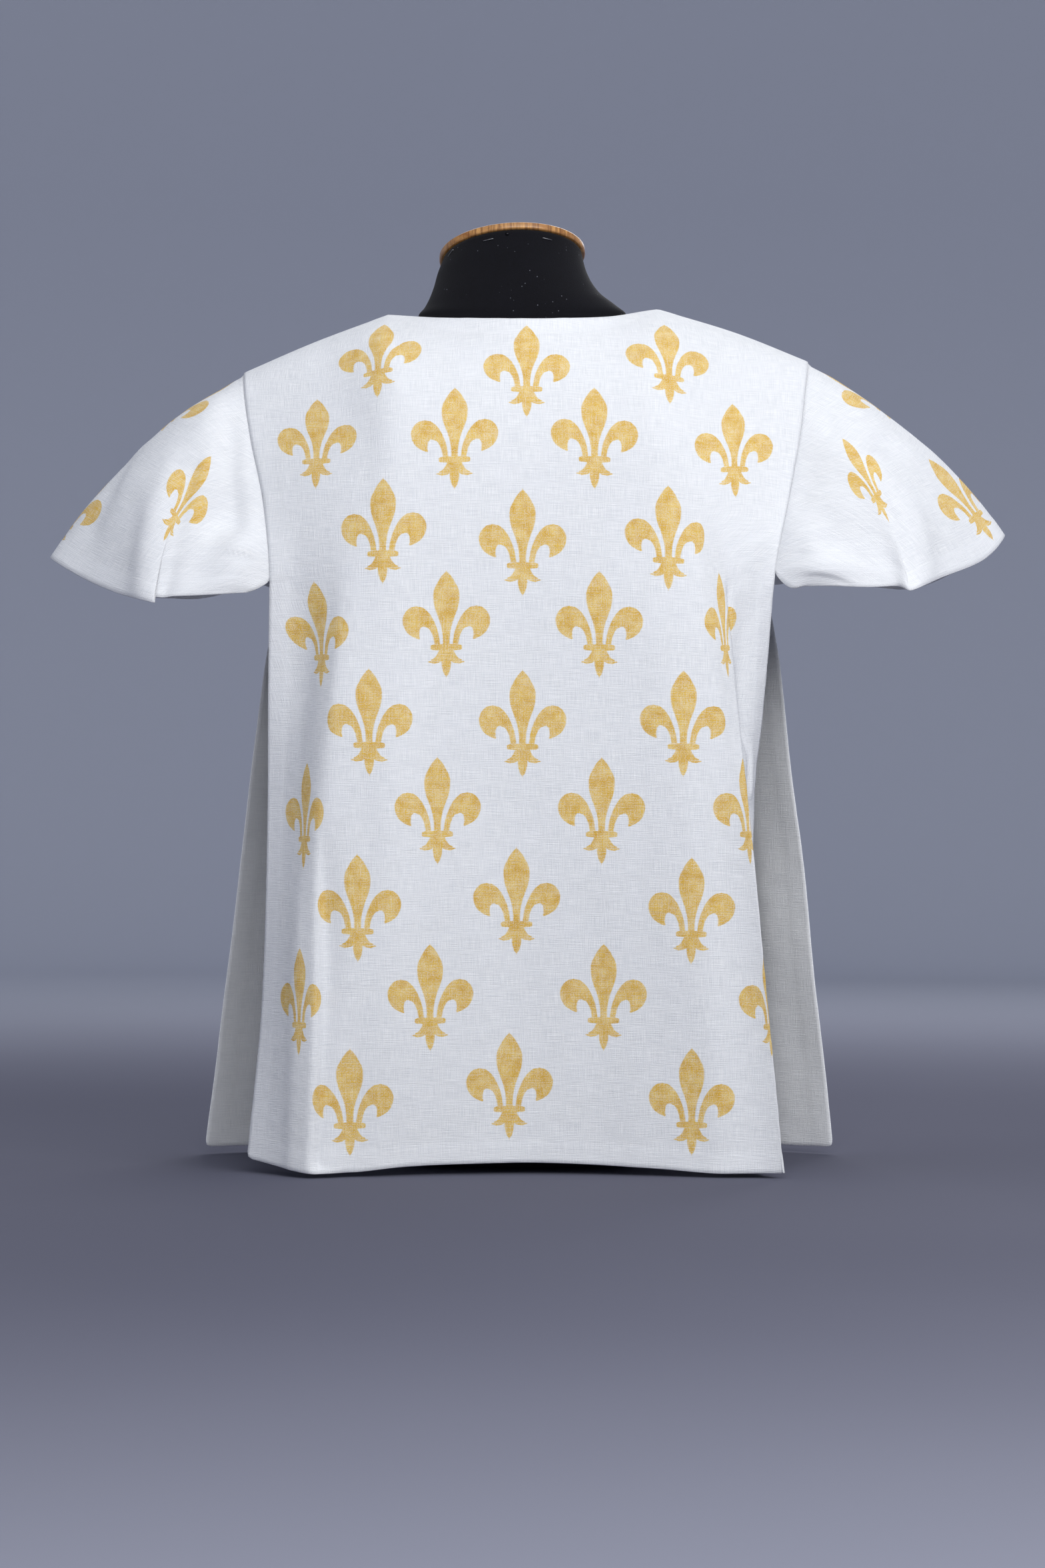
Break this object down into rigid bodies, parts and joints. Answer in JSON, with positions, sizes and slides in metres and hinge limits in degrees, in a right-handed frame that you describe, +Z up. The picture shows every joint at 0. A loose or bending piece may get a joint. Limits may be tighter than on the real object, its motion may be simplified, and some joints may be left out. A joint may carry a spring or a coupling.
{
  "type": "tabard on dress form",
  "caption": "Hip-length linen tabard with open sides and short cape sleeves, hanging on a limbless dress form that stands on its flat base",
  "frame": {"origin": "centre of the overall box on the floor that the dress form stands on", "axes": "+Z up, -Y the wearer's back and the side that the picture shows, +X to the right seen from behind"},
  "size_m": [0.8555, 0.2976, 0.8292],
  "materials": {
    "linen": "plain-woven white linen with a gold fleur-de-lis print",
    "form_jersey": "matte black stretch jersey",
    "cap_wood": "varnished light oak"
  },
  "bodies": {
    "root": {"back_panel": "linen", "front_panel": "linen", "sleeve_left": "linen", "sleeve_right": "linen", "form_torso": "form_jersey", "form_cap": "cap_wood"}
  },
  "joints": []
}
